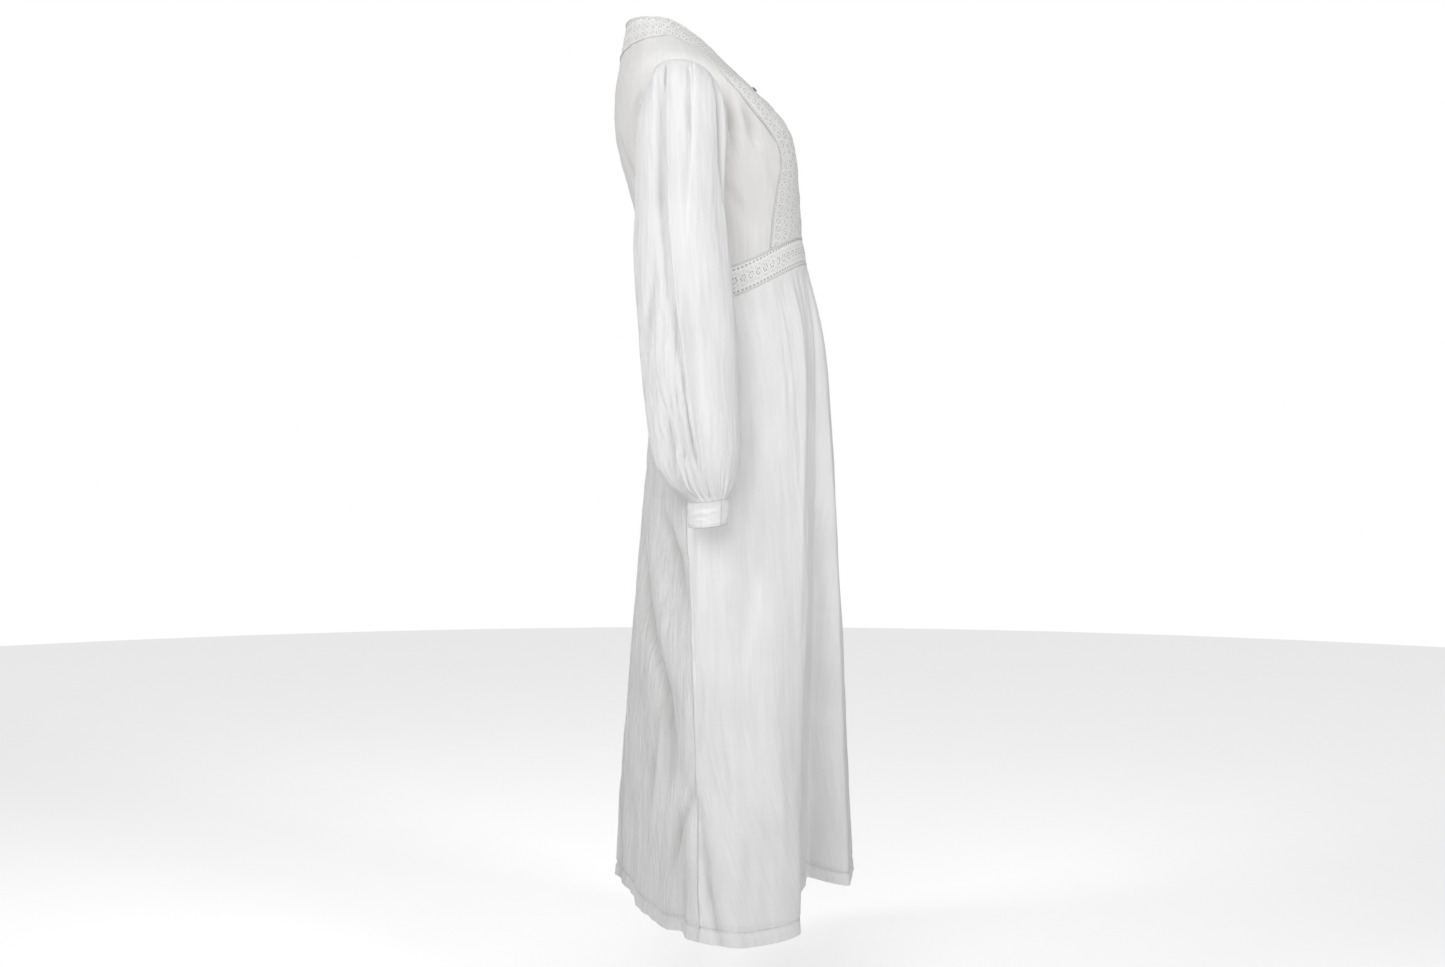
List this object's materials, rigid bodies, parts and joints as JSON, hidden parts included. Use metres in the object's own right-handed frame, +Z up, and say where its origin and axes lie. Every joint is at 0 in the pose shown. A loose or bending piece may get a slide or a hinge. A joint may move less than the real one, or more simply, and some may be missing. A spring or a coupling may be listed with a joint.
{
  "type": "maxi dress",
  "caption": "Long-sleeved maxi dress in white cotton gauze with a lace neck and waistband, worn but empty, hollow, with open neck, cuffs and hem.",
  "frame": {"origin": "between the shoulders, where the wearer carries the dress, 43 mm below the neck edge's side point", "axes": "+Z up, front faces -Y, the wearer's left is +X"},
  "size_m": [0.6886, 0.342, 1.234],
  "materials": {
    "gauze": "crinkled cotton gauze, matte",
    "lace": "dense cotton lace, matte",
    "button": "brown, horn-like"
  },
  "bodies": {
    "root": {"bodice_front_left": "gauze", "bodice_front_right": "gauze", "bodice_back": "gauze", "skirt_front": "gauze", "skirt_back": "gauze", "sleeve_left": "gauze", "sleeve_right": "gauze", "cuff_left": "gauze", "cuff_right": "gauze", "bib_lace_left": "lace", "bib_lace_right": "lace", "waistband_front": "lace", "waistband_back": "lace", "neck_button": "button"}
  },
  "joints": []
}
